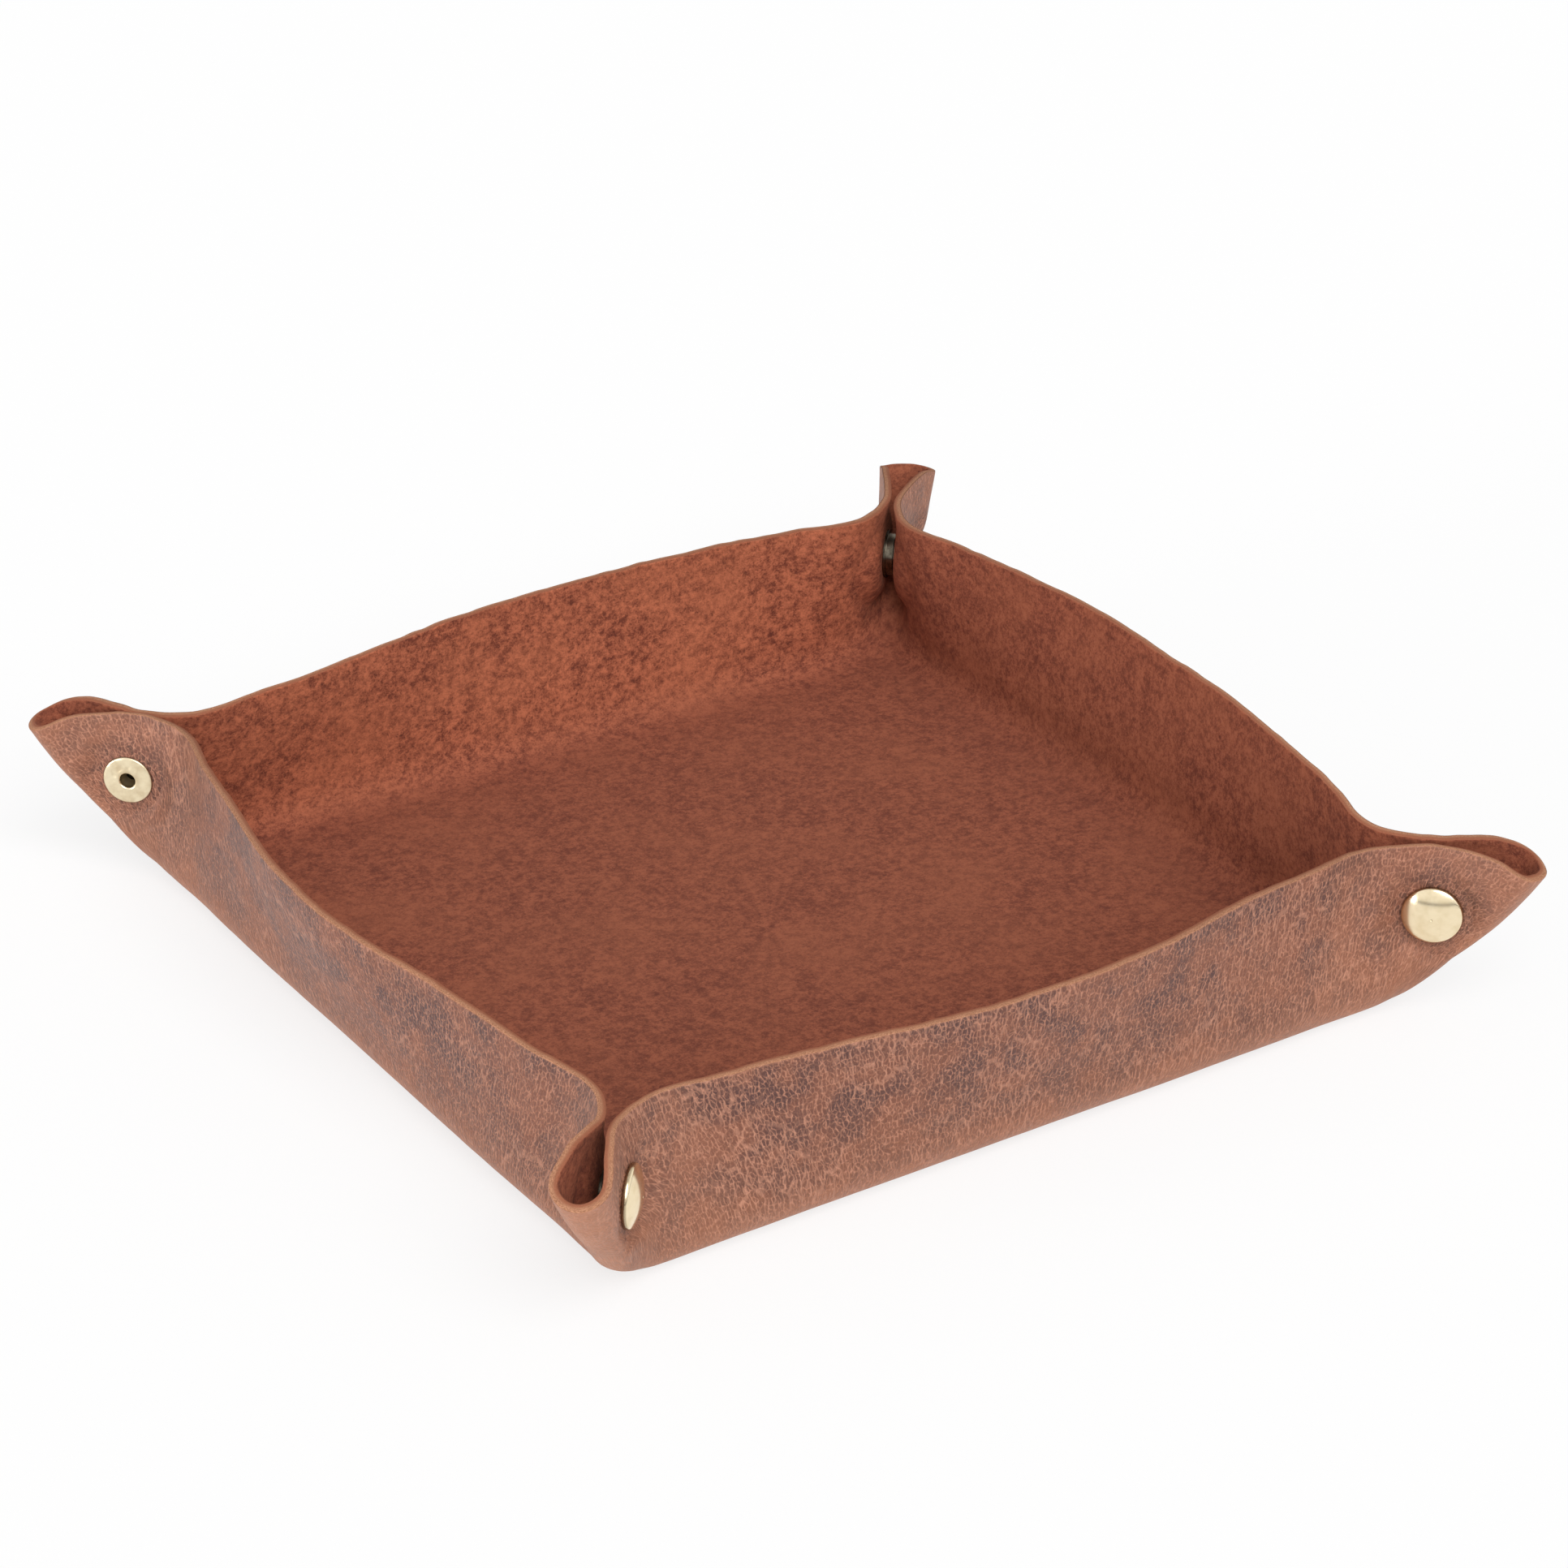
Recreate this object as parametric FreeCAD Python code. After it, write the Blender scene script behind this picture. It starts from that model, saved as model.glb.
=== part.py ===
import FreeCAD, Part
import math
import os

V = FreeCAD.Vector

# The valet tray is one square of leather. Its four sides are folded up into walls,
# and a press stud pinches each corner into a rounded ear. X runs along the front and
# back walls, Y along the side walls, and Z is up from the table under the floor.
# All lengths are in millimetres.

# Leather and floor
leather_thickness = 1.6
fold_line = 84.0
fold_reach = 7.7
base_corner_radius = 9.3
hinge_clearance = 0.12
crease_clearance = 0.5
loop_clearance = 0.45
ridge_clearance = 0.7
ear_foot_clearance = 0.5

# Upper edge of half a wall, from the wall's middle to where the ear starts:
# place along the wall as a share of the fold line, lean outwards and height.
rim_along_shares = (0.0, 0.38, 0.70, 0.90)
rim_lean = (1.7, 1.4, -0.9, -3.4)
rim_height = (34.3, 33.9, 33.3, 33.3)

# Upper edge of half an ear, from the pinch to the ridge: reach outwards along the
# corner's diagonal, distance from the diagonal and height.
ear_reach = (0.5, 5.4, 12.2, 17.7, 20.0)
ear_half_gap = (1.2, 2.0, 3.8, 4.7, 0.0)
ear_height = (33.9, 34.0, 33.3, 31.0, 30.3)

# Where the leather is divided, as shares of half a wall's upper edge and of the rise
crease_share = 0.7535
corner_start_share = 0.784
loop_share = 0.951
bend_rise_share = 0.3
split_rise_share = 0.15
step_share = 0.002

# Press studs: place on the ear, and the leather held flat round them
snap_reach = 1.5
snap_height = 20.8
snap_half_gap = 2.1
snap_flat_radius = 6.3
snap_blend_width = 4.4

# Press studs: pressed sheet brass
sheet_metal = 0.45
seat_clearance = 0.05
hole_clearance = 0.1
cap_radius = 5.5
cap_height = 2.2
cap_edge = 0.5
cap_dome_shares = (0.62, 0.8)
post_radius = 1.75
post_bore_radius = 1.2
post_flare_radius = 2.2
post_flare = 0.35
socket_flange_radius = 4.9
socket_body_radius = 4.4
socket_mouth_radius = 2.75
socket_depth = 1.9
socket_lip = 0.35
spring_inner_radius = 2.55
spring_wire_radius = 0.3
spring_opening = 40.0
stud_flange_radius = 4.3
stud_neck_radius = 2.1
stud_head_radius = 2.35
stud_head = 0.3
stud_length = 1.5
eyelet_radius = 4.75
eyelet_hole_radius = 1.45
eyelet_edge_shares = (0.93, 0.7)

half_root = math.sqrt(0.5)


def ear_point(reach, half_gap, height):
    along = fold_line + (reach - half_gap) * half_root
    out = (reach + half_gap) * half_root
    return V(along, out, height)


def rim_nodes():
    wall = [
        V(share * fold_line, lean, height)
        for share, lean, height in zip(rim_along_shares, rim_lean, rim_height)
    ]
    ear = [ear_point(*values) for values in zip(ear_reach, ear_half_gap, ear_height)]
    before = V(-wall[1].x, wall[1].y, wall[1].z)
    after = ear_point(ear_reach[-2], -ear_half_gap[-2], ear_height[-2])
    return [before] + wall + ear + [after]


RIM = rim_nodes()
CHORD = [0.0]
for first, second in zip(RIM, RIM[1:]):
    CHORD.append(CHORD[-1] + (second - first).Length)
RIM_LENGTH = CHORD[-2] - CHORD[1]


def slope(index):
    before = CHORD[index] - CHORD[index - 1]
    after = CHORD[index + 1] - CHORD[index]
    left = (RIM[index] - RIM[index - 1]) * (after / before)
    right = (RIM[index + 1] - RIM[index]) * (before / after)
    return (left + right) * (1 / (before + after))


def rim_point(share):
    place = CHORD[1] + share * RIM_LENGTH
    index = 1
    while index < len(RIM) - 3 and place > CHORD[index + 1]:
        index += 1
    span = CHORD[index + 1] - CHORD[index]
    x = (place - CHORD[index]) / span
    point = RIM[index] * (2 * x**3 - 3 * x**2 + 1)
    point += slope(index) * (span * (x**3 - 2 * x**2 + x))
    point += RIM[index + 1] * (3 * x**2 - 2 * x**3)
    point += slope(index + 1) * (span * (x**3 - x**2))
    return point


def base_point(share):
    """Corner of the folded section on the floor, and the way it faces."""
    turn = math.radians(45) * max(0.0, (share - corner_start_share) / (1 - corner_start_share))
    along = (fold_line - base_corner_radius) * min(1.0, share / corner_start_share)
    facing = V(math.sin(turn), math.cos(turn), 0)
    point = V(along, -base_corner_radius, leather_thickness / 2) + facing * base_corner_radius
    return point, facing


def smooth(x):
    x = max(0.0, min(1.0, x))
    return x * x * (3 - 2 * x)


def press_flat(point):
    """The snap holds the leather flat and square to its axis."""
    reach = (point.y + point.x - fold_line) * half_root
    half_gap = (point.y - point.x + fold_line) * half_root
    distance = math.hypot(reach - snap_reach, point.z - snap_height)
    weight = 1 - smooth((distance - snap_flat_radius) / snap_blend_width)
    return ear_point(reach, half_gap + (snap_half_gap - half_gap) * weight, point.z)


def skin(share, rise):
    """Middle of the leather: share along half a wall, rise from floor to edge."""
    if share < 0:
        point = skin(-share, rise)
        return V(-point.x, point.y, point.z)
    if share > 1:
        point = skin(2 - share, rise)
        return V(point.y, point.x, point.z)
    corner, facing = base_point(share)
    edge = rim_point(share)
    up = edge - corner
    low = corner - facing * fold_reach
    high = corner + up * (fold_reach / up.Length)
    if rise < bend_rise_share:
        x = rise / bend_rise_share
        point = low * (1 - x) ** 2 + corner * (2 * x * (1 - x)) + high * x**2
    else:
        x = (rise - bend_rise_share) / (1 - bend_rise_share)
        point = high + (edge - high) * x
        point = press_flat(point)
    return V(point.x, fold_line + point.y, point.z)


def normal(share, rise):
    """Direction of the leather's inner, suede side."""
    if rise == 0:
        return V(0, 0, 1)
    along = skin(share + step_share, rise) - skin(share - step_share, rise)
    upward = skin(share, min(1, rise + step_share)) - skin(share, rise - step_share)
    return along.cross(upward).normalize()


def shares_between(first, last, count):
    return [first + (last - first) * i / (count - 1) for i in range(count)]


def draped(grid):
    """Smooth surface over a grid of control points, ending on its border points."""
    degree = 3
    counts = (len(grid), len(grid[0]))
    mults = [[degree + 1] + [1] * (n - degree - 1) + [degree + 1] for n in counts]
    knots = [list(range(n - degree + 1)) for n in counts]
    surface = Part.BSplineSurface()
    surface.buildFromPolesMultsKnots(
        grid, mults[0], mults[1], knots[0], knots[1], False, False, degree, degree
    )
    return surface


def surfaces(shares, rises):
    """Suede and grain surfaces over a patch of the leather."""
    pair = []
    for side in (0.5, -0.5):
        grid = [
            [skin(s, r) + normal(s, r) * (side * leather_thickness) for r in rises]
            for s in shares
        ]
        pair.append(draped(grid))
    return pair


def edges_of(surface):
    first_u, last_u, first_v, last_v = surface.bounds()
    curves = (
        surface.uIso(first_u),
        surface.uIso(last_u),
        surface.vIso(first_v),
        surface.vIso(last_v),
    )
    return [curve.toShape() for curve in curves]


def closed(faces):
    shell = Part.Shell(faces)
    shell.sewShape()
    solid = Part.Solid(shell)
    if solid.Volume < 0:
        solid.reverse()
    return solid


def panel(shares, rises):
    """A patch of leather as a closed solid."""
    suede, grain = surfaces(shares, rises)
    faces = [suede.toShape(), grain.toShape()]
    for inner, outer in zip(edges_of(suede), edges_of(grain)):
        faces.append(Part.makeRuledSurface(inner, outer))
    return closed(faces)


def turned(shape, degrees):
    copy = shape.copy()
    copy.rotate(V(0, 0, 0), V(0, 0, 1), degrees)
    return copy


def revolved(points, dome=None):
    """Ring turned about Z from (radius, height) corners; its first side may be domed."""
    corners = [V(radius, 0, height) for radius, height in points]
    edges = []
    for start, end in zip(corners, corners[1:] + corners[:1]):
        if dome and not edges:
            edges.append(Part.Arc(start, V(dome[0], 0, dome[1]), end).toShape())
        else:
            edges.append(Part.LineSegment(start, end).toShape())
    face = Part.Face(Part.Wire(edges))
    return face.revolve(V(0, 0, 0), V(0, 0, 1), 360)


def on_snap_axis(shape):
    """From the snap's own axis to the back right ear, with the cap side to the back."""
    across = fold_line + snap_reach * half_root
    turn = FreeCAD.Rotation(V(0, 0, 1), V(-1, 1, 0))
    shape.Placement = FreeCAD.Placement(V(across, across, snap_height), turn)
    return shape


def flipped(shape, left, front):
    """Copy for another corner: the four ears mirror each other."""
    if left:
        shape = shape.mirror(V(0, 0, 0), V(1, 0, 0))
    if front:
        shape = shape.mirror(V(0, 0, 0), V(0, 1, 0))
    return shape


def across_diagonal(shape):
    return shape.mirror(V(0, 0, 0), V(1, -1, 0))


# Floor: a flat middle and an edge that curls up into the folds
crease_gap_share = crease_clearance / RIM_LENGTH
loop_gap_share = loop_clearance / RIM_LENGTH
rise_gap_share = hinge_clearance / rim_height[0]
foot_gap_share = ear_foot_clearance / rim_height[0]
floor_rises = shares_between(0.0, split_rise_share - rise_gap_share, 5)
floor_runs = (
    shares_between(-corner_start_share, corner_start_share, 25),
    shares_between(corner_start_share, 1.0, 7),
    shares_between(-corner_start_share, -1.0, 7),
)
floor_faces = []
floor_rings = ([], [])
for run in floor_runs:
    pair = surfaces(run, floor_rises)
    upper_edges = [edges_of(surface)[3] for surface in pair]
    for quarter in range(4):
        floor_faces.append(turned(Part.makeRuledSurface(*upper_edges), 90 * quarter))
        for ring, surface in zip(floor_rings, pair):
            floor_faces.append(turned(surface.toShape(), 90 * quarter))
            ring.append(turned(edges_of(surface)[2], 90 * quarter))
for ring in floor_rings:
    floor_faces.append(Part.Face(Part.Wire(Part.__sortEdges__(ring))))
nodes = {"floor_panel": closed(floor_faces)}

# Walls, from half-way up the floor fold to the upper edge
wall_rises = shares_between(split_rise_share + rise_gap_share, bend_rise_share, 4)
wall_rises += shares_between(bend_rise_share, 1.0, 8)[1:]
wall_end = crease_share - crease_gap_share
wall = panel(shares_between(-wall_end, wall_end, 45), wall_rises)
for quarter, name in enumerate(("back", "left", "front", "right")):
    nodes["wall_" + name] = turned(wall, 90 * quarter)

# Ears: a flap that carries half the snap, and a strip that rolls over the ridge
ear_rises = shares_between(split_rise_share + foot_gap_share, bend_rise_share, 4)
ear_rises += shares_between(bend_rise_share, 1.0, 12)[1:]
flap_run = shares_between(crease_share + crease_gap_share, loop_share - loop_gap_share, 22)
ridge_end = 1.0 - ridge_clearance / RIM_LENGTH
ridge_run = shares_between(loop_share + loop_gap_share, ridge_end, 8)
suede_face = snap_half_gap - leather_thickness / 2
grain_face = snap_half_gap + leather_thickness / 2
hole_radius = post_radius + hole_clearance
punch = on_snap_axis(Part.makeCylinder(hole_radius, 2 * grain_face, V(0, 0, 0)))
flap = panel(flap_run, ear_rises).cut(punch).Solids[0]
ridge = panel(ridge_run, ear_rises)

# Snap cap: a dome outside, with a hollow post through the leather into the socket
cap_base = grain_face + seat_clearance
socket_top = suede_face - seat_clearance
web = socket_top - sheet_metal
flare_top = web - seat_clearance
flare_end = flare_top - post_flare
snap_cap = revolved(
    (
        (0, cap_base + cap_height),
        (cap_radius, cap_base + cap_edge),
        (cap_radius, cap_base),
        (post_radius, cap_base),
        (post_radius, flare_top),
        (post_flare_radius, flare_top),
        (post_flare_radius, flare_end),
        (post_bore_radius, flare_end),
        (post_bore_radius, cap_base),
        (0, cap_base),
    ),
    (cap_radius * cap_dome_shares[0], cap_base + cap_edge + (cap_height - cap_edge) * cap_dome_shares[1]),
)

# Snap socket: a flanged cup on the suede side, with a rolled lip round its mouth
socket_end = socket_top - socket_depth
cavity_radius = socket_body_radius - sheet_metal
snap_socket = revolved(
    (
        (hole_radius, socket_top),
        (socket_flange_radius, socket_top),
        (socket_flange_radius, web),
        (socket_body_radius, web),
        (socket_body_radius, socket_end),
        (socket_mouth_radius, socket_end),
        (socket_mouth_radius, socket_end + socket_lip),
        (cavity_radius, socket_end + socket_lip),
        (cavity_radius, web),
        (hole_radius, web),
    )
)

# Socket spring: a wire ring with a gap, lying on the lip and spread by the stud
spring_radius = spring_inner_radius + spring_wire_radius
spring_height = socket_end + socket_lip + spring_wire_radius + seat_clearance
wire = Part.Circle(V(spring_radius, 0, spring_height), V(0, 1, 0), spring_wire_radius)
wire_face = Part.Face(Part.Wire(wire.toShape()))
socket_spring = wire_face.revolve(V(0, 0, 0), V(0, 0, 1), 360 - spring_opening)

# Snap stud: a flange on the other flap's suede side, with a headed boss
stud_base = -socket_top
stud_top = stud_base + stud_length
stud_bore_radius = post_radius + seat_clearance
bore_end = stud_top - stud_head
snap_stud = revolved(
    (
        (0, stud_top),
        (stud_head_radius, bore_end + stud_head / 2),
        (stud_head_radius, bore_end),
        (stud_neck_radius, bore_end - stud_head / 2),
        (stud_neck_radius, stud_base + sheet_metal),
        (stud_flange_radius, stud_base + sheet_metal),
        (stud_flange_radius, stud_base),
        (stud_bore_radius, stud_base),
        (stud_bore_radius, bore_end),
        (0, bore_end),
    )
)

# Eyelet post: an open washer outside, with a tube through the leather into the stud
eyelet_face = -cap_base - sheet_metal
eyelet_post = revolved(
    (
        (eyelet_radius, -cap_base),
        (eyelet_hole_radius, eyelet_face),
        (eyelet_hole_radius, bore_end - seat_clearance),
        (post_radius, bore_end - seat_clearance),
        (post_radius, -cap_base),
    ),
    (eyelet_radius * eyelet_edge_shares[0], -cap_base - sheet_metal * eyelet_edge_shares[1]),
)

corner_nodes = {
    "cap_flap": flap,
    "cap_ridge": ridge,
    "stud_flap": across_diagonal(flap),
    "stud_ridge": across_diagonal(ridge),
    "snap_cap": on_snap_axis(snap_cap),
    "snap_socket": on_snap_axis(snap_socket),
    "socket_spring": on_snap_axis(socket_spring),
    "snap_stud": on_snap_axis(snap_stud),
    "eyelet_post": on_snap_axis(eyelet_post),
}
for depth in ("front", "back"):
    for side in ("left", "right"):
        for name, shape in corner_nodes.items():
            corner_name = "_".join((depth, side, name))
            nodes[corner_name] = flipped(shape, side == "left", depth == "front")

os.makedirs("parts", exist_ok=True)
for name, shape in nodes.items():
    shape.exportStep("parts/%s.step" % name)
    print(name, shape.ShapeType, shape.isValid(), round(shape.Volume, 1))
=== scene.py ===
# %% [markdown]
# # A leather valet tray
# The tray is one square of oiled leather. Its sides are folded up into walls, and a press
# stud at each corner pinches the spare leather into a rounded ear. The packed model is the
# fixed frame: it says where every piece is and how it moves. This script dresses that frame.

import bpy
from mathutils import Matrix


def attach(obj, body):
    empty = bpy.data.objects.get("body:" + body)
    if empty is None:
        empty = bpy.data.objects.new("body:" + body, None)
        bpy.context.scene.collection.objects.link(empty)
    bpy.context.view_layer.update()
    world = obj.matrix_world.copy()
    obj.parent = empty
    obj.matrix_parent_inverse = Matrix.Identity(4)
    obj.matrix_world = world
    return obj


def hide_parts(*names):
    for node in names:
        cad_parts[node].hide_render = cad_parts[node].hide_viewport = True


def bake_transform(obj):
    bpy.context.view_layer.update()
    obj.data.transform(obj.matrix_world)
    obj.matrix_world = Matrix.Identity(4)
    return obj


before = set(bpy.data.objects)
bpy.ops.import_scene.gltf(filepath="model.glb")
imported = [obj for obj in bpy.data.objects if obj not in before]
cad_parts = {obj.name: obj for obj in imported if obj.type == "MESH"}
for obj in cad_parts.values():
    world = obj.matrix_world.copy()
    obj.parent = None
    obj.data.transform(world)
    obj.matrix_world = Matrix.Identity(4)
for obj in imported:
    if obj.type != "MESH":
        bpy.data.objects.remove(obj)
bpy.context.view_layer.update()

# %% Tools for meshes and numbers
import math

import bpy
import numpy as np
from mathutils import Vector

MM = 0.001
scene = bpy.context.scene
print("lengths are in millimetres until a mesh is made")

# %% [markdown]
# ## The shape of the leather
# A folded sheet could be modelled by hand or simulated as cloth. Here the fold is simple
# enough to write down: a base line on the floor with rounded corners, an upper edge that
# runs along the wall and round the ear, and straight leather between the two, with a soft
# bend at the foot. The same sizes drive the solid model, so both have the same form.
# A share goes along half a wall, from 0 at its middle to 1 at the ridge of the ear, and a
# rise goes up it, from 0 at the floor to 1 at the cut edge.

# %% Sizes of the sheet, the rim, the ears and the studs
thickness = 1.6
fold_line = 84.0  # from the tray's middle to where floor and wall would meet unbent
fold_reach = 7.7  # how far the bend reaches from there, inwards and upwards
base_radius = 9.3
corner_start = 0.784  # share where the base line begins to turn
bend_rise = 0.3  # rise where the bend ends and the straight leather begins
half_root = math.sqrt(0.5)

rim_along = np.array([0.0, 0.38, 0.70, 0.90]) * fold_line
rim_lean = np.array([1.7, 1.4, -0.9, -3.4])
rim_height = np.array([34.3, 33.9, 33.3, 33.3])
ear_reach = np.array([0.5, 5.4, 12.2, 17.7, 20.0])
ear_half_gap = np.array([1.2, 2.0, 3.8, 4.7, 0.0])
ear_height = np.array([33.9, 34.0, 33.3, 31.0, 30.3])

snap_reach, snap_height, snap_half_gap = 1.5, 20.8, 2.1
snap_flat, snap_blend = 6.3, 4.4
print("the floor is %.1f mm between its bends" % (2 * (fold_line - fold_reach)))


# %% Upper edge of half a wall, from its middle to the ridge of the ear
def ear_point(reach, half_gap, height):
    along = fold_line + (reach - half_gap) * half_root
    return np.stack([along, (reach + half_gap) * half_root, height], -1)


edge_knots = np.vstack([
    np.stack([rim_along, rim_lean, rim_height], -1),
    ear_point(ear_reach, ear_half_gap, ear_height),
])
before = edge_knots[1] * (-1, 1, 1)
after = ear_point(ear_reach[-2], -ear_half_gap[-2], ear_height[-2])
edge_knots = np.vstack([before, edge_knots, after])
edge_steps = np.linalg.norm(np.diff(edge_knots, axis=0), axis=1)
edge_place = np.concatenate([[0], np.cumsum(edge_steps)])
edge_length = edge_place[-2] - edge_place[1]
edge_slope = np.zeros_like(edge_knots)
for i in range(1, len(edge_knots) - 1):
    one, two = edge_steps[i - 1], edge_steps[i]
    came = (edge_knots[i] - edge_knots[i - 1]) * (two / one)
    goes = (edge_knots[i + 1] - edge_knots[i]) * (one / two)
    edge_slope[i] = (came + goes) / (one + two)


def edge_point(share):
    """A smooth curve through the knots."""
    place = edge_place[1] + share * edge_length
    i = np.clip(np.searchsorted(edge_place, place) - 1, 1, len(edge_knots) - 3)
    span = edge_place[i + 1] - edge_place[i]
    x = ((place - edge_place[i]) / span)[..., None]
    span = span[..., None]
    point = edge_knots[i] * (2 * x**3 - 3 * x**2 + 1)
    point = point + edge_slope[i] * span * (x**3 - 2 * x**2 + x)
    point = point + edge_knots[i + 1] * (3 * x**2 - 2 * x**3)
    return point + edge_slope[i + 1] * span * (x**3 - x**2)


print("half a wall's upper edge is %.1f mm long" % edge_length)


# %% Base line, and the sheet laid flat
def base_point(share):
    """A point of the base line, and the way that it faces."""
    turn = math.pi / 4 * np.clip((share - corner_start) / (1 - corner_start), 0, 1)
    along = (fold_line - base_radius) * np.clip(share / corner_start, 0, 1)
    facing = np.stack([np.sin(turn), np.cos(turn), 0 * turn], -1)
    start = np.stack([along, 0 * along - base_radius, 0 * along + thickness / 2], -1)
    return start + facing * base_radius, facing


bend_length, straight_length, cut_radius = 12.5, 25.6, 22.0
wall_length = bend_length + straight_length
sheet_half = fold_line - fold_reach + bend_length + straight_length


def flat_place(share, rise):
    """Where a point of half a wall lies on the sheet before it is folded."""
    corner, facing = base_point(share)
    low = corner[..., :2] - facing[..., :2] * fold_reach + (0, fold_line)
    run = sheet_half - cut_radius
    way = share * (run + cut_radius * math.pi / 4)
    turn = np.clip((way - run) / cut_radius, 0, math.pi / 4)
    edge = np.stack([np.minimum(way, run) + cut_radius * np.sin(turn),
                     run + cut_radius * np.cos(turn)], -1)
    bent = np.minimum(rise / bend_rise, 1) * bend_length
    straight = np.maximum((rise - bend_rise) / (1 - bend_rise), 0) * straight_length
    far = ((bent + straight) / wall_length)[..., None]
    return low + (edge - low) * far


print("the sheet was cut %.0f mm square" % (2 * sheet_half))


# %% One half wall, folded
def smooth(x):
    """0 below 0, 1 above 1 and level at both ends."""
    x = np.clip(x, 0, 1)
    return x * x * (3 - 2 * x)


def eased(x, start, span):
    return smooth((x - start) / span)


ear_foot = (0.72, 0.28)  # shares over which the bend grows towards the ear
ear_foot_growth = 0.9
bowed_end = (0.86, 0.14)  # shares over which the leather bows out towards the ridge
ridge_bow = 1.3
free_ridge = (0.95, 0.05)  # shares over which the stud lets go of the leather
pinch_fade = (4.0, 7.0)  # mm from the stud over which its pinch fades


def held_by_stud(point, share, rise):
    """The ear pressed flat round its stud, and how far each point is pinched."""
    reach = (point[..., 1] + point[..., 0] - fold_line) * half_root
    gap = (point[..., 1] - point[..., 0] + fold_line) * half_root
    away = np.hypot(reach - snap_reach, point[..., 2] - snap_height)
    held = 1 - eased(away, snap_flat, snap_blend)
    held = np.where(rise > bend_rise, held, 0) * (1 - eased(share, *free_ridge))
    gap = gap + (snap_half_gap - gap) * held
    pressed = ear_point(reach, gap, point[..., 2])
    return pressed + (0, fold_line, 0), 1 - eased(away, *pinch_fade)


def half_wall(share, rise):
    corner, facing = base_point(share)
    edge = edge_point(share)
    up = edge - corner
    low = corner - facing * fold_reach
    reach_up = fold_reach * (1 + ear_foot_growth * eased(share, *ear_foot))
    high = corner + up * (reach_up / np.linalg.norm(up, axis=-1))[..., None]
    x = np.clip(rise / bend_rise, 0, 1)[..., None]
    bent = low * (1 - x) ** 2 + corner * (2 * x * (1 - x)) + high * x**2
    x = ((rise - bend_rise) / (1 - bend_rise))[..., None]
    point = np.where(x < 0, bent, high + (edge - high) * x)
    bow = ridge_bow * eased(share, *bowed_end) * np.clip(4 * x * (1 - x), 0, 1)[..., 0]
    point = point + (bow * half_root)[..., None] * (1, 1, 0)
    return held_by_stud(point, share, rise)


print("top of the ridge:", np.round(half_wall(np.array(1.0), np.array(1.0))[0], 1))


# %% [markdown]
# ## Worn, uneven leather
# No real fold is as even as the formula. Each wall has a few broad dents and bulges of its
# own. Over them, a smooth random field on the flat sheet pushes the leather in
# and out a little. Neighbouring pieces share that sheet, so they meet without a step. The
# field fades out at the floor's edge and round the press studs, which hold the leather flat.

# %% A smooth random field
lattice = 64


def lumps(place, size, seed):
    """Random heights, about -1 to 1, on a lattice of that size, joined smoothly."""
    heights = np.random.default_rng(seed).uniform(-1, 1, (lattice, lattice))
    grid = place / size
    cell = np.floor(grid).astype(int)
    part = grid - cell
    part = part * part * part * (part * (part * 6 - 15) + 10)
    i, j = cell[..., 0] % lattice, cell[..., 1] % lattice
    i1, j1 = (i + 1) % lattice, (j + 1) % lattice
    u, v = part[..., 0], part[..., 1]
    low = heights[i, j] * (1 - u) + heights[i1, j] * u
    high = heights[i, j1] * (1 - u) + heights[i1, j1] * u
    return low * (1 - v) + high * v


# Size of the lumps, seed of their heights, and how far they push
wall_lumps = ((38.0, 3, 0.55), (13.0, 5, 0.16), (4.5, 7, 0.05))
rim_lumps = ((2.6, 11, 0.10), (9.0, 13, 0.18))
floor_lumps = ((16.0, 17, 0.12), (5.0, 19, 0.05))


def all_lumps(place, kinds):
    return sum(lumps(place, size, seed) * push for size, seed, push in kinds)


print("kinds of lumps:", len(wall_lumps) + len(rim_lumps) + len(floor_lumps))

# %% The four walls, each with its own dents: place, half width, and mm out and up
wall_dents = {
    "back": ((-0.48, 0.50, -3.8, 0.0), (1.00, 0.24, 0.0, 1.9)),
    "left": ((-0.88, 0.14, 0.4, 1.6), (-0.74, 0.17, 1.3, 0.0), (0.04, 0.46, 5.0, -0.4)),
    "front": ((-0.48, 0.27, -2.3, 0.5), (0.00, 0.38, 3.5, -0.5), (0.50, 0.24, -1.7, 0.3),
              (0.90, 0.16, -1.3, 2.2), (0.96, 0.10, -0.9, 0.0)),
    "right": ((-1.00, 0.24, 0.0, 1.9), (-0.04, 0.74, 2.8, 0.0), (0.62, 0.16, -1.1, 0.2)),
}
wall_names = tuple(wall_dents)
# Each ridge, by the wall that ends there: mm to the side and up
ridge_lean = np.array([0.0, 0.0, -1.1, 0.0])
ridge_lift = np.array([1.9, 0.0, -0.3, 0.0])
ridge_end = (0.93, 0.07)  # shares over which a ridge takes over from the dents


def wall_set(wall, share):
    """How far the rim is bent out and up there, from the dents and the ridges."""
    out, up = np.zeros(share.shape), np.zeros(share.shape)
    for number, dents in enumerate(wall_dents.values()):
        for place, half_width, push, lift in dents:
            near = 1 - smooth(np.abs(share - place) / half_width)
            near = np.where(wall == number, near, 0)
            out, up = out + push * near, up + lift * near
    end = eased(np.abs(share), *ridge_end)
    ridge = np.where(share > 0, wall, wall + 1) % 4
    out = out + (np.sign(share) * ridge_lean[ridge] - out) * end
    return out, up + (ridge_lift[ridge] - up) * end


print("dents:", sum(len(dents) for dents in wall_dents.values()))

# %% Leather of the whole tray
lean_start = (0.2, 0.8)  # rises over which a dent grows from the foot to the rim
ear_turn = (0.62, 0.16)  # shares over which a dent turns to push across the ear


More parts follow.
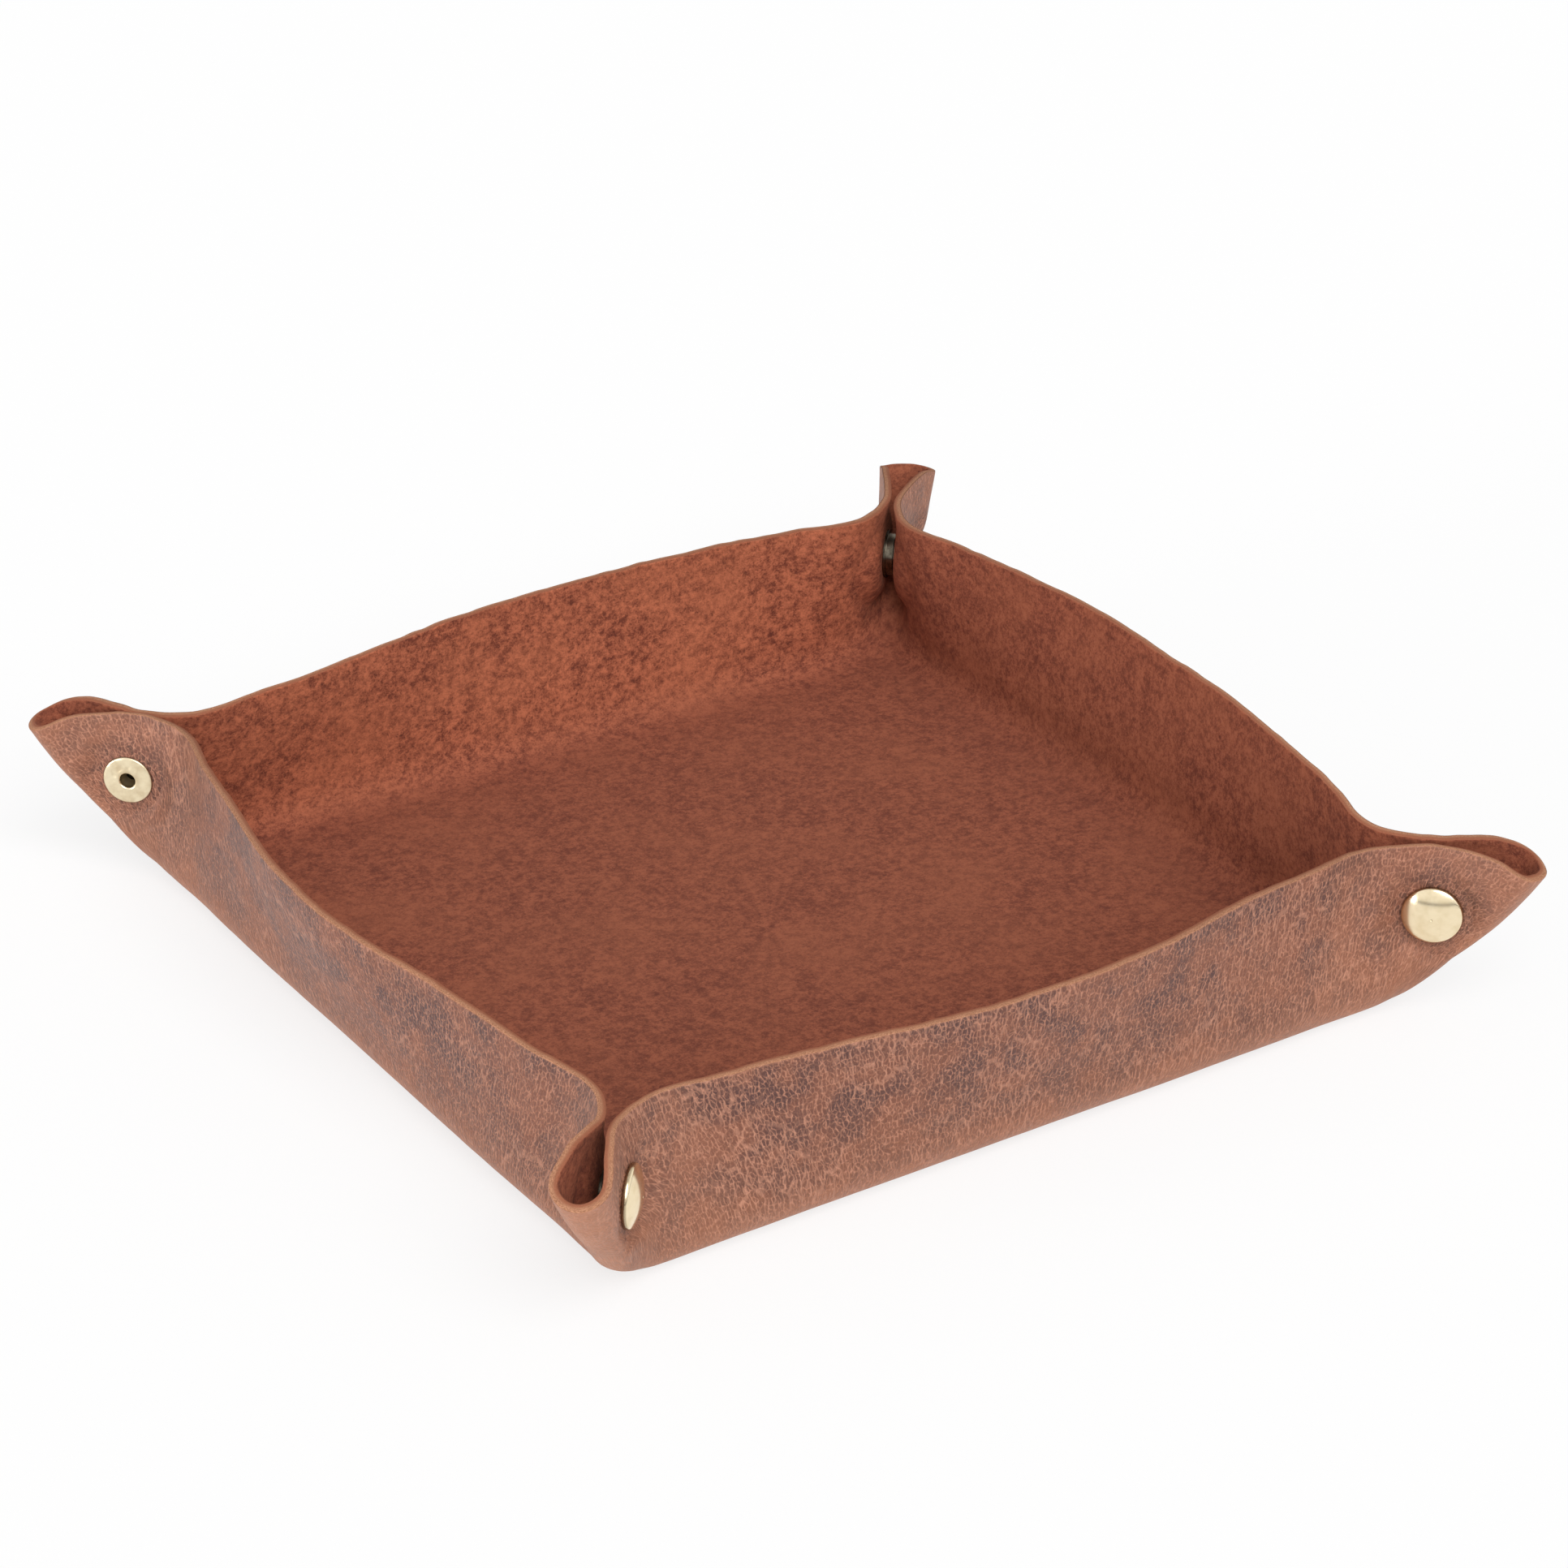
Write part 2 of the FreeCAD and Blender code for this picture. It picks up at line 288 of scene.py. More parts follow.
def turn_with(wall, x, y):
    """A place on the back wall, turned by quarters to another wall."""
    c = np.array([1, 0, -1, 0])[wall]
    s = np.array([0, 1, 0, -1])[wall]
    return x * c - y * s, x * s + y * c


def as_arrays(wall, share, rise):
    return np.broadcast_arrays(wall, np.asarray(share, float), np.asarray(rise, float))


def plain_leather(wall, share, rise):
    """Middle of the leather, its place on the sheet and how far a stud pinches it."""
    wall, share, rise = as_arrays(wall, share, rise)
    over = np.where(share > 1, 1, np.where(share < -1, -1, 0))
    wall, share = (wall - over) % 4, share - 2 * over
    point, pinch = half_wall(np.abs(share), rise)
    flat = flat_place(np.abs(share), rise)
    side = np.where(share < 0, -1, 1)
    out, lift = wall_set(wall, share)
    up = eased(rise, *lean_start) * (1 - pinch)
    across_ear = eased(np.abs(share), *ear_turn)
    x = (point[..., 0] - out * up * across_ear * half_root) * side
    y = point[..., 1] + out * up * (1 - across_ear + across_ear * half_root)
    z = point[..., 2] + lift * up
    x, y = turn_with(wall, x, y)
    u, v = turn_with(wall, flat[..., 0] * side, flat[..., 1])
    return np.stack([x, y, z], -1), np.stack([u, v], -1), pinch


print("middle of the front rim:", np.round(plain_leather(2, 0.0, 1.0)[0], 1))

# %% The same leather, worn
share_step, rise_step = 0.0015, 0.01  # steps that the slopes are measured over
lumpy_foot, ragged_rim = (0, 0.35), (0.8, 0.2)  # rises over which the lumps set in


def unit(v):
    return v / np.maximum(np.linalg.norm(v, axis=-1, keepdims=True), 1e-9)


def across(shape, wall, share, rise):
    """Directions of the suede side and of the way up the wall."""
    along = shape(wall, share + share_step, rise)[0] - shape(wall, share - share_step, rise)[0]
    below = np.maximum(rise - rise_step, 0)
    up = shape(wall, share, rise + rise_step)[0] - shape(wall, share, below)[0]
    normal = unit(np.cross(along, up))
    normal = np.where((rise <= 0)[..., None], (0.0, 0.0, 1.0), normal)
    return normal, unit(up - normal * (up * normal).sum(-1, keepdims=True))


def worn_leather(wall, share, rise):
    wall, share, rise = as_arrays(wall, share, rise)
    point, flat, pinch = plain_leather(wall, share, rise)
    normal = across(plain_leather, wall, share, rise)[0]
    push = all_lumps(flat, wall_lumps) * (eased(rise, *lumpy_foot) * (1 - pinch))
    point = point + normal * push[..., None]
    ragged = all_lumps(flat, rim_lumps) * eased(rise, *ragged_rim)
    return point + (ragged * (1 - pinch))[..., None] * (0, 0, 1), flat, pinch


print("middle of the front rim, worn:", np.round(worn_leather(2, 0.0, 1.0)[0], 1))

# %% [markdown]
# ## Leather pieces
# Each piece is a closed strip of leather: a suede face, a grain face and a raw cut edge with
# softened corners. The mesh is a grid of columns along the wall and rows that run up the
# suede side, over the edge and down the grain side. Normals come from the whole sheet, so
# the joins between pieces do not show. Every point also keeps its place on the flat sheet,
# which the finishes use, how far the leather is pulled and pinched there, and how near the
# floor it is, where painted shade darkens the suede.

# %% Rows of a piece
rise_per_mm = (1 - bend_rise) / straight_length
# Over the cut edge: mm below it, depth as a share of the thickness, and tilt of the normal
edge_rows = [(0.42, 0.5, 0), (0.14, 0.45, 40), (0.02, 0.32, 75), (0.0, 0.1, 90),
             (0.0, -0.1, 90), (0.02, -0.32, 105), (0.14, -0.45, 140), (0.42, -0.5, 180)]
suede_tilt, grain_tilt = 40, 140


def rows_of(rises, cut):
    """Rise, depth through the leather and tilt of the normal for each row."""
    rises = rises[:-1] if cut else rises
    rows = [(r, 0.5, 0) for r in rises]
    if cut:
        rows += [(1 - drop * rise_per_mm, depth, tilt) for drop, depth, tilt in edge_rows]
    rows += [(r, -0.5, 180) for r in reversed(rises)]
    return np.array(rows)


print("rows over a cut edge:", len(edge_rows))


# %% Mesh of a piece
def put(name, data):
    made = bpy.data.objects.new(name, data)
    scene.collection.objects.link(made)
    return made


def mesh_object(name, points, faces, finishes, loop_normals=None):
    mesh = bpy.data.meshes.new(name)
    mesh.from_pydata((points * MM).tolist(), [], faces)
    mesh.polygons.foreach_set("material_index", finishes)
    mesh.polygons.foreach_set("use_smooth", np.ones(len(faces), bool))
    if loop_normals is not None:
        mesh.normals_split_custom_set(loop_normals.tolist())
    mesh.update()
    return put(name, mesh)


def keep_on_points(made, **layers):
    """Keep three numbers or one with each point, for the finishes to read."""
    for name, values in layers.items():
        values = values.reshape(len(made.data.vertices), -1).astype(np.float32)
        kind, key = ("FLOAT_VECTOR", "vector") if values.shape[1] == 3 else ("FLOAT", "value")
        made.data.attributes.new(name, kind, "POINT").data.foreach_set(key, values.ravel())


print("meshes so far:", len(bpy.data.meshes))

# %% Faces along a piece: four corners, finish, and whether the sheet's own normals are kept
SUEDE, GRAIN, CUT = 0, 1, 2
punch_radius = 2.5


def punched_cells(middle):
    """Cells of the grid that the punch takes out for a press stud."""
    reach = np.abs(middle[..., :2]).sum(-1) * half_root - fold_line / half_root - snap_reach
    away = np.hypot(reach, middle[..., 2] - snap_height)
    following = np.roll(away, -1, axis=1)
    return (away[:-1] + away[1:] + following[:-1] + following[1:]) / 4 < punch_radius


def finish_between(tilt, next_tilt):
    if max(tilt, next_tilt) <= suede_tilt:
        return SUEDE
    return GRAIN if min(tilt, next_tilt) >= grain_tilt else CUT


def long_faces(number, rows, cut, punched):
    """Faces that run along the strip."""
    high = number.shape[1]
    found = []
    for i, j in np.argwhere(~punched):
        k = (j + 1) % high
        quad = (number[i, j], number[i + 1, j], number[i + 1, k], number[i, k])
        hidden = k == 0 or (not cut and j == high // 2 - 1)
        finish = CUT if hidden else finish_between(rows[j, 2], rows[k, 2])
        found.append((quad, finish, not hidden))
    return found


print("a punched hole is %.0f mm wide" % (2 * punch_radius))


# %% Faces at the ends and round the punched holes
def end_faces(number, tongue):
    """Faces that close the two ends."""
    count, high = number.shape
    found = []
    for i, order in ((0, 1), (count - 1, -1)):
        for j in range(high // 2 - 1):
            quad = (number[i, j], number[i, j + 1], number[i, high - 2 - j], number[i, high - 1 - j])
            found.append((quad[::order], SUEDE if tongue[i, j] else CUT, False))
    return found


# Round a cell of the grid: the way to the cell beside it, and the two corners they share
cell_sides = (((-1, 0), (0, 1), (0, 0)), ((1, 0), (1, 0), (1, 1)),
              ((0, -1), (0, 0), (1, 0)), ((0, 1), (1, 1), (0, 1)))


def punch_faces(number, punched):
    """Faces through the leather, round a punched hole."""
    high = number.shape[1]
    found = []
    for i, j in np.argwhere(punched[:, :high // 2]):
        m = high - 1 - j
        for (x, y), (a, b), (c, d) in cell_sides:
            if not punched[i + x, j + y]:
                quad = ((i + a, j + b), (i + c, j + d), (i + c, m - d), (i + a, m - b))
                found.append((tuple(number[q] for q in quad), CUT, False))
    return found


print("sides of a cell:", len(cell_sides))

# %% Where the oil is drawn out of the grain
pale_foot, pale_foot_reach = 0.08, 0.26
pale_ridge, pale_ear, pale_flap = (0.90, 0.09), (0.56, 0.10), (0.76, 0.08)
pale_lip = (0.985, 0.015)
ear_pull, lip_pull = 0.16, 0.5
# Rises over which the painted shade of the floor fades out up the wall.
floor_shade_rises = (0, 0.4)


def pulled(share, rise):
    """How far the oil is drawn out: most at the folds and the cut edge."""
    foot = 1 - smooth(np.abs(rise - pale_foot) / pale_foot_reach)
    ridge = eased(share, *pale_ridge)
    ear = ear_pull * eased(share, *pale_ear) + ear_pull * eased(share, *pale_flap)
    lip = lip_pull * eased(rise, *pale_lip)
    return np.maximum.reduce([foot, ridge, ear, lip])


print("pull at the crease, half way up: %.2f" % pulled(0.75, 0.5))

# %% A whole piece
no_tongue = 9.0  # a share that no piece reaches
tongue_rise, tongue_thin = 0.985, 0.6
wall_apart, wall_level = 300, 40  # keep the four walls' places along the wall apart


def leather_piece(name, wall, shares, rises, cut=True, tongue_from=no_tongue):
    """A closed strip; past tongue_from it is a thin tongue inside the next piece's leather."""
    rows = rows_of(list(rises), cut)
    share, rise = np.meshgrid(shares, rows[:, 0], indexing="ij")
    tongue = np.abs(share) > tongue_from
    rise = np.where(tongue & cut, rise * tongue_rise, rise)
    depth = rows[:, 1] * thickness * np.where(tongue, tongue_thin, 1.0)
    middle, flat, pinch = worn_leather(wall, share, rise)
    normal, up = across(worn_leather, wall, share, rise)
    tilt = np.radians(rows[:, 2])[None, :, None]
    points = middle + normal * depth[..., None]
    facing = normal * np.cos(tilt) + up * np.sin(tilt)

    number = np.arange(share.size).reshape(share.shape)
    punched = punched_cells(middle)
    found = long_faces(number, rows, cut, punched)
    found += end_faces(number, tongue) + punch_faces(number, punched)
    quads, finishes, from_sheet = zip(*found)
    used, quads = np.unique(np.array(quads), return_inverse=True)
    quads = quads.reshape(-1, 4)
    points, facing = points.reshape(-1, 3)[used], facing.reshape(-1, 3)[used]
    corners = points[quads]
    own = unit(np.cross(corners[:, 2] - corners[:, 0], corners[:, 3] - corners[:, 1]))
    normals = np.where(np.array(from_sheet)[:, None, None], facing[quads], own[:, None, :])
    made = mesh_object(name, points, quads.tolist(), finishes, normals.reshape(-1, 3))

    on_sheet = np.concatenate([flat, depth[..., None]], -1)
    along = share * edge_length + wall * wall_apart
    run = np.stack([along, (1 - rise) / rise_per_mm, 0 * rise + wall * wall_level], -1)
    # The layer named worn marks the floor and foot, where the suede gets painted shade.
    layers = {"sheet": on_sheet, "run": run, "pull": pulled(np.abs(share), rise), "pinch": pinch,
              "worn": 1 - eased(rise, *floor_shade_rises)}
    keep_on_points(made, **{key: v.reshape(share.size, -1)[used] for key, v in layers.items()})
    return made


leather = {}
print("a tongue is %.2f mm thick" % (thickness * tongue_thin))

# %% [markdown]
# ## Walls and ears
# The sheet is divided at its folds, where the frame's hinges are: each wall meets the floor
# at its soft foot, each ear flap meets its wall at the crease, and each ridge strip meets
# its flap.

# %% Shares and rises where the sheet is divided
crease, loop_start, foot_rise = 0.7535, 0.951, 0.15
bend_rises = np.linspace(0, bend_rise, 15)
wall_rises = np.concatenate([bend_rises, np.linspace(bend_rise, 1, 27)[1:]])
ear_rises = np.concatenate([np.linspace(foot_rise, bend_rise, 8), np.linspace(bend_rise, 1, 29)[1:]])
wall_shares = np.linspace(-crease, crease, 167)
flap_shares = np.linspace(crease, loop_start, 37)
tongue_shares = np.linspace(1.0008, 1.022, 6)
ridge_shares = np.concatenate([np.linspace(loop_start, 1, 15), tongue_shares])
print("the crease is %.1f mm from the middle of the wall" % (crease * edge_length))


# %% Walls
def in_metres(point):
    return tuple(float(x) * MM for x in point)


def spot(wall, share, rise):
    return worn_leather(wall, np.array(share), np.array(rise))[0]


for wall, place in enumerate(wall_names):
    made = leather_piece("leather_wall_" + place, wall, wall_shares, wall_rises)
    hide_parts("wall_" + place)
    low, high = spot(wall, 0, 0), spot(wall, 0, bend_rise)
    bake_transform(made)
    leather["wall_" + place] = made
print("walls:", len(leather))

# %% Ears
cap_walls = ("front", "back")
flap_blend_end, ridge_blend_end, blend_rise = 0.80, 0.985, 0.6
ears = {place: [] for place in wall_names}


def half_ear_name(wall, end):
    """The corner at one end of a wall, and the half of the press stud on that wall."""
    place, other = wall_names[wall], wall_names[(wall - end) % 4]
    return "%s_%s_cap" % (place, other) if place in cap_walls else "%s_%s_stud" % (other, place)


def ear_strip(wall, end, part, shares, blend_end):
    """A flap or a ridge of an ear."""
    made = leather_piece("leather_" + part, wall, np.sort(end * shares), ear_rises, tongue_from=1.0)
    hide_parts(part)
    start = end * shares[0]
    line = unit(spot(wall, start, 1) - spot(wall, start, foot_rise))
    begin = spot(wall, start, blend_rise)
    way = spot(wall, end * blend_end, blend_rise) - begin
    way = way - line * (way @ line)
    in_metres(begin + way)
    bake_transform(made)
    leather[part] = made
    ears[wall_names[wall]].append(made)


for wall, place in enumerate(wall_names):
    for end in (-1, 1):
        half_ear = half_ear_name(wall, end)
        flap, ridge = half_ear + "_flap", half_ear + "_ridge"
        ear_strip(wall, end, flap, flap_shares, flap_blend_end)
        ear_strip(wall, end, ridge, ridge_shares, ridge_blend_end)
print("pieces with the ears:", len(leather))

# %% [markdown]
# ## Corners that stay closed
# At each corner a small curled foot of leather belongs to the floor. Rigid bodies part a
# little there when the tray opens, where real leather would stretch. The ridge strips already
# have a thin tongue inside their neighbour. A thin web inside the leather now runs round each
# corner's foot. Both hide in the folded tray and close the joins of the open one.

# %% Corner feet
foot_shares = np.linspace(crease, 2 - crease, 61)
foot_rises = np.linspace(0, foot_rise, 9)
for wall, place in enumerate(wall_names):
    name = "foot_%s_%s" % (place, wall_names[(wall - 1) % 4])
    made = leather_piece("leather_" + name, wall, foot_shares, foot_rises, cut=False)
    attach(made, "root")
    leather[name] = made
print("pieces with the feet:", len(leather))

# %% Corner webs
web_overlap, web_end = 0.012, 1.06
web_shares, web_rises = np.linspace(crease - web_overlap, web_end, 40), np.linspace(0.03, 0.26, 11)
for wall, place in enumerate(wall_names):
    for end, word in ((-1, "start"), (1, "end")):
        name = "web_%s_%s" % (place, word)
        shares = np.sort(end * web_shares)
        made = leather_piece("leather_" + name, wall, shares, web_rises, cut=False, tongue_from=0.0)
        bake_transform(made)
        leather[name] = made
print("pieces with the webs:", len(leather))

# %% [markdown]
# ## The floor
# The floor lies flat on the table. A plain plate would look dead from above, so its suede
# side is a fan of rings, each the floor's outline drawn a little smaller, with low lumps that
# fade towards the edge, where the walls begin.

# %% Outline and lumps of the floor
same_point = 1e-6
floor_core, calm_edge, slope_step = 0.02, (0, 0.06), 0.2


def floor_border():
    """Once round the floor, along the line where the walls begin to bend."""
    straight, corner = wall_shares[len(wall_shares) // 2:-1], foot_shares[:len(foot_shares) // 2]
    half = np.concatenate([straight, corner])
    shares = np.concatenate([-half[::-1], half[1:]])
    border = np.vstack([plain_leather(wall, shares, 0 * shares)[0][:, :2] for wall in (0, 3, 2, 1)])
    steps = np.linalg.norm(border - np.roll(border, 1, axis=0), axis=1)
    return border[steps > same_point]


def floor_slope(place):
    ways = np.eye(2) * slope_step
    rises = [all_lumps(place + way, floor_lumps) - all_lumps(place - way, floor_lumps) for way in ways]
    return np.stack(rises, -1) / (2 * slope_step)


border = floor_border()
print("points round the floor:", len(border))


# %% Mesh of the floor
def floor_faces(rings, count, shift):
    """Faces of the top, of the underside, shift points later, and of the side between."""
    faces, finishes = [], []
    for r in range(rings - 1):
        for c in range(count):
            d = (c + 1) % count
            a, b, e, f = r * count + c, r * count + d, (r + 1) * count + d, (r + 1) * count + c
            faces += [(a, f, e, b), (a + shift, b + shift, e + shift, f + shift)]
            finishes += [SUEDE, GRAIN]
    last, middle = (rings - 1) * count, rings * count
    for c in range(count):
        d = (c + 1) % count
        faces.append((last + c, middle, last + d))
        faces.append((last + c + shift, last + d + shift, middle + shift))
        faces.append((c, d, d + shift, c + shift))
        finishes += [SUEDE, GRAIN, CUT]
    return faces, finishes


def floor_piece(rings=44):
    count = len(border)
    scale = np.linspace(1, floor_core, rings)
    places = border[None] * scale[:, None, None]
    calm = eased(1 - scale, *calm_edge)[:, None]
    height = thickness + all_lumps(places, floor_lumps) * calm
    top = np.concatenate([places, height[..., None]], -1).reshape(-1, 3)
    points = np.vstack([top, [(0, 0, thickness)], top * (1, 1, 0), [(0, 0, 0)]])
    shift = len(top) + 1
    faces, finishes = floor_faces(rings, count, shift)
    facing = np.tile((0.0, 0.0, 1.0), (len(points), 1))
    slope = floor_slope(top[:, :2])
    facing[:len(top), :2] = -slope * np.repeat(calm, count, axis=1).reshape(-1, 1)
    facing[shift:] = (0, 0, -1)
    loops = []
    for face, finish in zip(faces, finishes):
        outwards = np.append(points[face[0], :2], 0)
        loops += [unit(outwards)] * 4 if finish == CUT else [facing[i] for i in face]
    made = mesh_object("leather_floor", points, faces, finishes, unit(np.array(loops)))
    depth = np.where(np.arange(len(points)) < shift, 0.5, -0.5) * thickness
    on_sheet = np.concatenate([points[:, :2], depth[:, None]], -1)
    none = np.zeros(len(points))
    # The whole floor gets painted shade: its layer named worn is 1 everywhere.
    keep_on_points(made, sheet=on_sheet, run=points * (1, 1, 0), pull=none, pinch=none, worn=none + 1)
    return made


made = floor_piece()
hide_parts("floor_panel")
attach(made, "root")
leather["floor"] = made
print("leather faces:", sum(len(o.data.polygons) for o in leather.values()))

# %% [markdown]
# ## Finishes as plain sums
# A finish is a small network of nodes. Drawn by hand it grows into a tangle, so one small
# class stands for a socket: sums on it add Math nodes, and one method adds any other node.

# %% A socket that can be added and multiplied
class Wire:
    def __init__(self, tree, socket):
        self.tree, self.socket = tree, socket

    def node(self, kind, settings, sockets, output=0):
        """Any other node: its type, its settings and the values or wires of its sockets."""
        made = self.tree.nodes.new("ShaderNode" + kind)
        for key, value in settings.items():
            setattr(made, key, value)
        for key, value in sockets.items():
            if isinstance(value, Wire):
                self.tree.links.new(value.socket, made.inputs[key])
            else:
                made.inputs[key].default_value = value
        return Wire(self.tree, made.outputs[output])

    def sum(self, operation, one, two):
        return self.node("Math", {"operation": operation}, {0: one, 1: two})

    def __add__(self, other):
        return self.sum("ADD", self, other)

    def __sub__(self, other):
        return self.sum("SUBTRACT", self, other)

    def __rsub__(self, other):
        return self.sum("SUBTRACT", other, self)

    def __mul__(self, other):
        return self.sum("MULTIPLY", self, other)

    __radd__, __rmul__ = __add__, __mul__

    def step(self, low, high):
        """0 below low, 1 above high and smooth between; low may be the larger."""
        return self.node("MapRange", {"interpolation_type": "SMOOTHSTEP"},
                         {"Value": self, "From Min": low, "From Max": high})


print("a wire has", [name for name in vars(Wire) if name.isalpha()])


# %% Helpers that the finishes share
def new_finish(name):
    finish = bpy.data.materials.new(name)
    finish.use_nodes = True
    shader = finish.node_tree.nodes["Principled BSDF"]
    return finish, shader, Wire(finish.node_tree, None)


def kept(wire, name, output="Fac"):
    """A number kept on the points of the mesh or, as Vector, a place."""
    return wire.node("Attribute", {"attribute_name": name}, {}, output)


def axis_of(place, axis):
    return place.node("SeparateXYZ", {}, {"Vector": place}, axis)


def noise(place, size, detail=2.0, rough=0.5, output="Fac"):
    """Noise whose lumps are about that size."""
    sockets = {"Vector": place, "Scale": 1 / size, "Detail": detail, "Roughness": rough}
    return place.node("TexNoise", {}, sockets, output)


def wandering(place, size, detail, amount):
    """A place shifted to and fro by noise of that size."""
    by = noise(place, size, detail, output="Color")
    shift = place.node("VectorMath", {"operation": "SUBTRACT"}, {0: by, 1: (0.5, 0.5, 0.5)})
    shift = place.node("VectorMath", {"operation": "SCALE"}, {0: shift, "Scale": amount})
    return place.node("VectorMath", {"operation": "ADD"}, {0: place, 1: shift})


def stretched(place, factors):
    return place.node("VectorMath", {"operation": "MULTIPLY"}, {0: place, 1: factors})


def cells(place, feature="DISTANCE_TO_EDGE", output="Distance"):
    settings = {"voronoi_dimensions": "2D", "feature": feature}
    return place.node("TexVoronoi", settings, {"Vector": place, "Scale": 1.0}, output)


def layered(ground, *layers):
    """A ground colour with others laid over it, each as strongly as its wire says."""
    colour = (*ground, 1.0)
    for strength, over in layers:
        sockets = {0: strength, 6: colour, 7: (*over, 1.0)}
        colour = strength.node("Mix", {"data_type": "RGBA"}, sockets, 2)
    return colour


def set_shader(shader, constants, **wires):
    for key, value in constants.items():
        shader.inputs[key].default_value = value
    for key, value in wires.items():
        value.tree.links.new(value.socket, shader.inputs[key.replace("_", " ")])


def bumped(height, depth, strength):
    return height.node("Bump", {}, {"Height": height, "Distance": depth * MM, "Strength": strength})


print("finishes so far:", len(bpy.data.materials))

# %% [markdown]
# ## The grain side
# The outside is oiled pull-up leather. Its pebbles are dark where oil sits and tan along the
# veins between them, long fine creases run up the walls, and wherever the leather is bent
# the oil draws away and leaves it pale. Cells with softened borders make the pebbles, larger
# cells stretched up the wall make the creases, stretched noise makes the streaks, and slow
# noise the cloudy patches. A picture of leather would be quicker, but it would repeat.

# %% Grain finish
grain_brown, grain_dark, foot_brown = (0.196, 0.069, 0.040), (0.080, 0.031, 0.027), (0.250, 0.095, 0.047)
drawn_tan, pebble_dark, vein_tan = (0.48, 0.208, 0.114), (0.060, 0.023, 0.016), (0.53, 0.242, 0.150)
crease_tan, streak_tan, dust_tan = (0.55, 0.262, 0.168), (0.53, 0.246, 0.158), (0.58, 0.30, 0.20)


def grain_finish():
    finish, shader, wire = new_finish("oiled grain")
    sheet, run = kept(wire, "sheet", "Vector"), kept(wire, "run", "Vector")
    pull, pinch = kept(wire, "pull"), kept(wire, "pinch")
    below_rim = axis_of(run, 1)
    pebble_place = stretched(wandering(run, 2.2, 3, 1.4), (1 / 0.8, 1 / 1.2, 1))
    pebble = cells(pebble_place)
    tone = pebble.node("SeparateColor", {}, {"Color": cells(pebble_place, "F1", "Color")})
    streak = noise(stretched(wandering(run, 6, 2, 2.0), (1 / 0.42, 1 / 2.0, 1)), 1.0, 3, 0.6)
    crease_line = cells(stretched(wandering(run, 3.5, 2, 2.2), (1 / 1.8, 1 / 7.5, 1))).step(0.10, 0.02)
    cloud = noise(sheet, 22, 4, 0.6) * 0.5 + noise(sheet, 7, 3) * 0.5
    dark = cloud.step(0.41, 0.59)
    vein = pebble.step(0.19, 0.03)
    dust = noise(sheet, 0.30, 2)
    drawn = pull * (0.55 + 0.45 * noise(sheet, 1.6, 3)) * (1 - 0.6 * pinch)
    oiled = tone.step(0.3, 0.9) * (0.18 + 0.74 * pinch) * (1 - 0.7 * pull)
    creased = noise(sheet, 17, 2).step(0.42, 0.62) * (0.4 + 0.6 * streak)

    colour = layered(
        grain_brown,
        (dark, grain_dark),
        (below_rim.step(8, 32) * 0.5, foot_brown),
        (drawn, drawn_tan),
        (oiled, pebble_dark),
        (vein * (0.10 + 0.48 * streak.step(0.38, 0.58)), vein_tan),
        (crease_line * creased * 0.60, crease_tan),
        (streak.step(0.54, 0.66) * (0.46 - 0.24 * pinch), streak_tan),
        (dust.step(0.45, 0.75) * 0.16, dust_tan))
    height = pebble.step(0.0, 0.34) * 0.6 + dust * 0.4 + streak * 0.5
    rough = 0.46 + 0.14 * vein - 0.06 * dark + 0.10 * dust
    set_shader(shader, {"Specular IOR Level": 0.36}, Base_Color=colour, Roughness=rough,
               Normal=bumped(height, 0.09, 0.8))
    return finish


grain = grain_finish()
print(grain.name, "has", len(grain.node_tree.nodes), "nodes")

# %% [markdown]
# ## The suede side
# The inside is the raw flesh side, rubbed to a short nap. It is redder than the outside, with
# dark flecks where fibres part and paler ground where they lie over. Painted shade darkens it
# on the floor and towards the side walls. Three sizes of noise give fibres,
# tufts and clumps, slow noise the clouds, and a little sheen the soft light at grazing angles.

# %% Suede finish
nap_dark, nap_light, cloud_orange = (0.170, 0.046, 0.029), (0.575, 0.182, 0.094), (0.560, 0.186, 0.092)
# The middle colour on the next line is painted shade, laid on the floor and towards the side walls.
fleck_dark, painted_shade_dark, fold_orange = (0.080, 0.024, 0.018), (0.150, 0.044, 0.030), (0.50, 0.16, 0.085)


def suede_finish():
    finish, shader, wire = new_finish("rubbed suede")
    sheet, pull = kept(wire, "sheet", "Vector"), kept(wire, "pull")
    fibre = noise(wandering(sheet, 2.5, 2, 0.6), 0.40, 4, 0.75)
    tuft = noise(sheet, 1.0, 3, 0.6)
    clump = noise(sheet, 2.4, 3, 0.55)
    cloud = noise(sheet, 26, 3, 0.55)
    nap = fibre * 0.36 + tuft * 0.36 + clump * 0.28
    fleck = (fibre * 0.40 + noise(sheet, 0.9, 2) * 0.42 + clump * 0.18).step(0.46, 0.36)
    # Painted shade: the suede is darkened towards the left and right side walls.
    across_sheet = axis_of(sheet, 0)
    shaded_sides = across_sheet.step(66, 96) + across_sheet.step(-66, -96)

    colour = layered(
        nap_dark,
        (nap.step(0.38, 0.62), nap_light),
        (cloud.step(0.40, 0.68) * 0.34, cloud_orange),
        (fleck * 0.50, fleck_dark),
        (shaded_sides * 0.40, painted_shade_dark),
        (pull * tuft.step(0.3, 0.7) * 0.12, fold_orange),
        # Painted shade on the floor and foot, by the layer named worn.
        (kept(wire, "worn") * 0.55, painted_shade_dark))
    sheen = {"Sheen Weight": 0.06, "Sheen Roughness": 0.45, "Sheen Tint": (1.0, 0.62, 0.42, 1.0)}
    set_shader(shader, {"Roughness": 0.95, "Specular IOR Level": 0.12, **sheen},
               Base_Color=colour, Normal=bumped(fibre * 0.8 + tuft * 0.6, 0.22, 0.9))
    return finish


suede = suede_finish()
print(suede.name, "has", len(suede.node_tree.nodes), "nodes")
